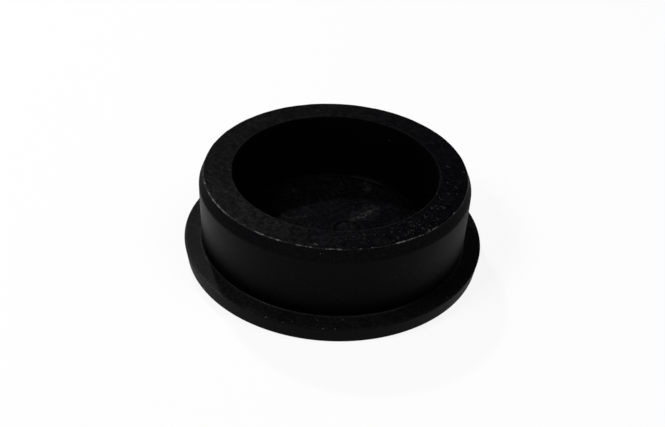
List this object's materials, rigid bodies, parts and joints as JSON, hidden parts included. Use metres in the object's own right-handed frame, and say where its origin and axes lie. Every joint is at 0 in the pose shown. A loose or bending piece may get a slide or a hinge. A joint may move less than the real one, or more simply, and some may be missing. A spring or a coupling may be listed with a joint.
{
  "type": "rubber stopper",
  "caption": "Round black rubber stopper: a hollow plug with a flat lip, a sloped lead-in, a sealing band and a wider flange round its closed end.",
  "frame": {"origin": "centre of the flat face of the closed end, which it rests on", "axes": "+Z along the stopper's axis, from the closed end up to the open mouth; the gate mark on the hollow's floor lies on the +X side of the axis"},
  "size_m": [0.0562, 0.0562, 0.0173],
  "materials": {
    "black_rubber": "matte moulded rubber with a dull sheen on the wall"
  },
  "bodies": {
    "root": {"stopper": "black_rubber"}
  },
  "joints": []
}
